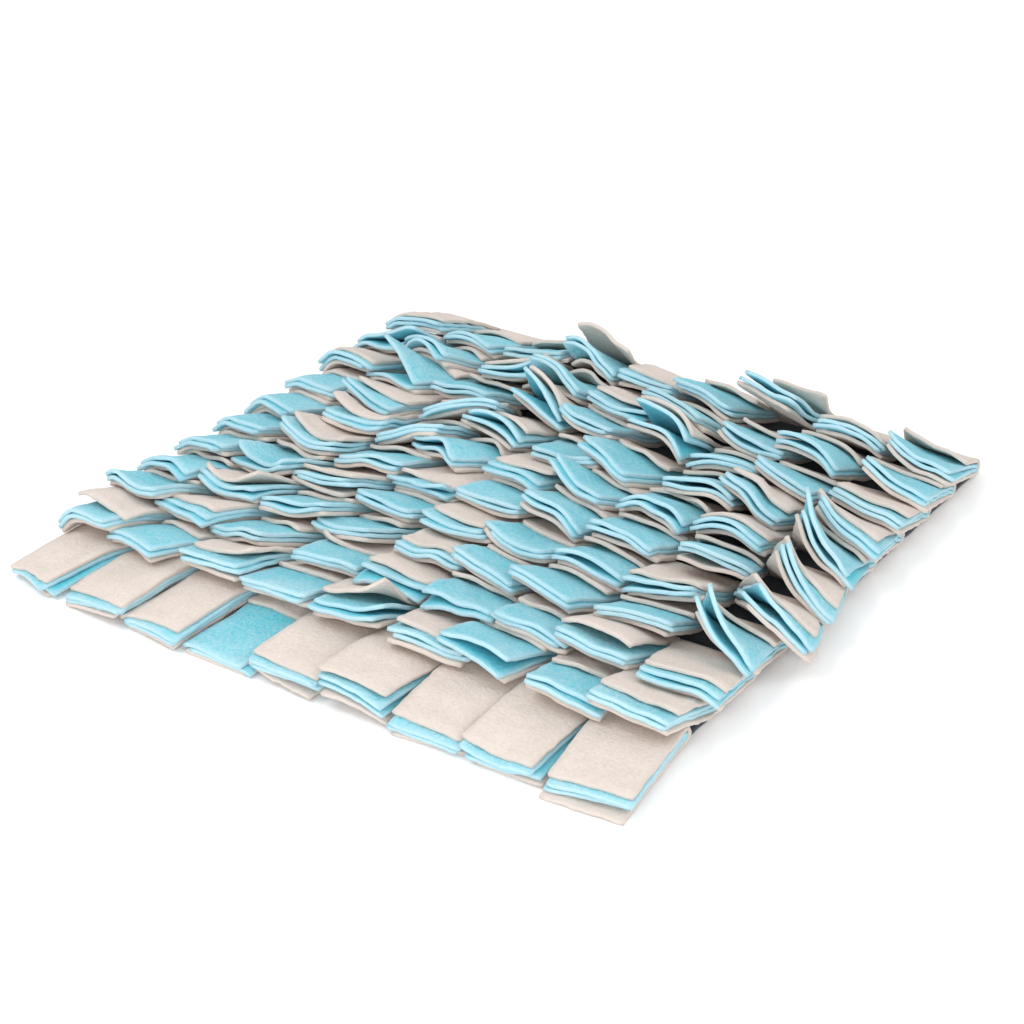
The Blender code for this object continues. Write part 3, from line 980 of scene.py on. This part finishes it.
def dress_strips():
    """The 22 fleece strips, each in the place of its CAD node."""
    points = design()
    points = settle(points)
    points[..., 0] = within(points[..., 0], RIGHT_LIMIT)
    points[..., 2] = within(points[..., 2], TOP_LIMIT)
    beige = fleece("beige_fleece_pile", **BEIGE)
    blue = fleece("blue_fleece_pile", **BLUE)
    # The share of painted shade in the root's colour: none at the tips, and all of it in the band at the
    # roots
    from_tip = ALONG[:, 0]
    shade_share = np.concatenate((from_tip, np.ones(len(BAND_ANGLES)), 1.0 - from_tip)) ** ROOT_SHADE_POWER
    for row in range(ROWS):
        for strip, label in enumerate(STRIP_NAMES):
            grid = strip_grid(points, row, strip)
            faces = strip_faces(*grid.shape[:2])
            shade_shares = np.repeat(shade_share, grid.shape[1])
            name = f"fleece_{row + 1:02d}_{label}"
            piece = thick_mesh(name, grid, faces, NAPPED, shade_shares, FOLD_SHADE)
            piece.data.materials.append(blue if strip else beige)
            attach(piece, "root")
            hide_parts(f"row_{row + 1:02d}_{label}")


def base_grid():
    """The felt's middle surface: a square grid pushed in at its corners."""
    at = np.linspace(-1.0, 1.0, BASE_LINES)
    half = BASE_SIDE / 2 - BASE_INSET
    x, y = np.meshgrid(at * half, at * half)
    keep = half - BASE_CORNER
    past_x, past_y = np.abs(x) - keep, np.abs(y) - keep
    corner = (past_x > 0) & (past_y > 0)
    far = np.maximum(np.hypot(past_x, past_y), NOT_ZERO)
    scale = np.where(corner, np.maximum(past_x, past_y) / far, 1.0)
    x = np.where(corner, np.sign(x) * (keep + past_x * scale), x)
    y = np.where(corner, np.sign(y) * (keep + past_y * scale), y)
    return np.stack((x, y, np.full_like(x, BASE_THICKNESS / 2)), axis=-1)


def dress_base():
    """The felt sheet under all rows."""
    grid = base_grid()
    index = np.arange(BASE_LINES**2).reshape(BASE_LINES, BASE_LINES)
    # The grid's rows run to +Y and a strip's to -Y, so the corners are listed the other way round to face up
    faces = np.stack((index[1:, :-1], index[1:, 1:], index[:-1, 1:], index[:-1, :-1]), axis=-1)
    piece = thick_mesh("felt_base", grid, faces.reshape(-1, 4), BASE_THICKNESS, np.zeros(index.size))
    piece.data.materials.append(felt("slate_felt", **SLATE))
    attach(piece, "root")
    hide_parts("base_sheet")


def area_light(name, place, target, size, power):
    """A white round light that faces its target."""
    light = bpy.data.lights.new(name, "AREA")
    light.shape = "DISK"
    light.size = size
    light.energy = power
    lamp = bpy.data.objects.new(name, light)
    lamp.location = place
    x, y, z = np.array(target) - np.array(place)
    tilt = math.atan2(math.hypot(x, y), -z)
    lamp.rotation_euler = (tilt, 0.0, math.atan2(x, -y) + math.pi)
    bpy.context.scene.collection.objects.link(lamp)


def light_scene():
    """A bright white studio with soft lights to the camera's left, to its right and behind it."""
    world = bpy.data.worlds.new("studio")
    world.use_nodes = True
    background = world.node_tree.nodes["Background"]
    background.inputs["Color"].default_value = (1.0, 1.0, 1.0, 1.0)
    background.inputs["Strength"].default_value = WORLD_STRENGTH
    bpy.context.scene.world = world
    area_light("key", place=(-0.7, -0.9, 1.7), target=(0.0, 0.0, 0.0), size=1.2, power=14.0)
    area_light("fill", place=(1.6, 0.6, 1.3), target=(0.0, 0.0, 0.0), size=1.4, power=6.0)
    area_light("front", place=(1.1, -1.9, 0.75), target=(0.0, 0.0, 0.02), size=1.6, power=25.0)


def lay_floor():
    """A wide sheet of white paper under the mat."""
    mesh = bpy.data.meshes.new("floor")
    side = FLOOR_HALF_SIDE
    corners = [(-side, -side, 0), (side, -side, 0), (side, side, 0), (-side, side, 0)]
    mesh.from_pydata(corners, [], [(0, 1, 2, 3)])
    floor = bpy.data.objects.new("floor", mesh)
    material, _, _ = new_material("floor_paper", PAPER, roughness=0.9)
    mesh.materials.append(material)
    bpy.context.scene.collection.objects.link(floor)


def place_camera():
    """The photo's camera."""
    data = bpy.data.cameras.new("camera")
    data.lens = LENS_MM
    data.sensor_width = SENSOR_MM
    data.clip_end = FARTHEST
    camera = bpy.data.objects.new("camera", data)
    camera.location = EYE
    camera.rotation_euler = (math.pi / 2 - EYE_PITCH, 0.0, EYE_TURN)
    bpy.context.scene.collection.objects.link(camera)
    bpy.context.scene.camera = camera


place_camera()
light_scene()
lay_floor()
dress_base()
dress_strips()
bpy.context.scene.view_settings.view_transform = "Standard"
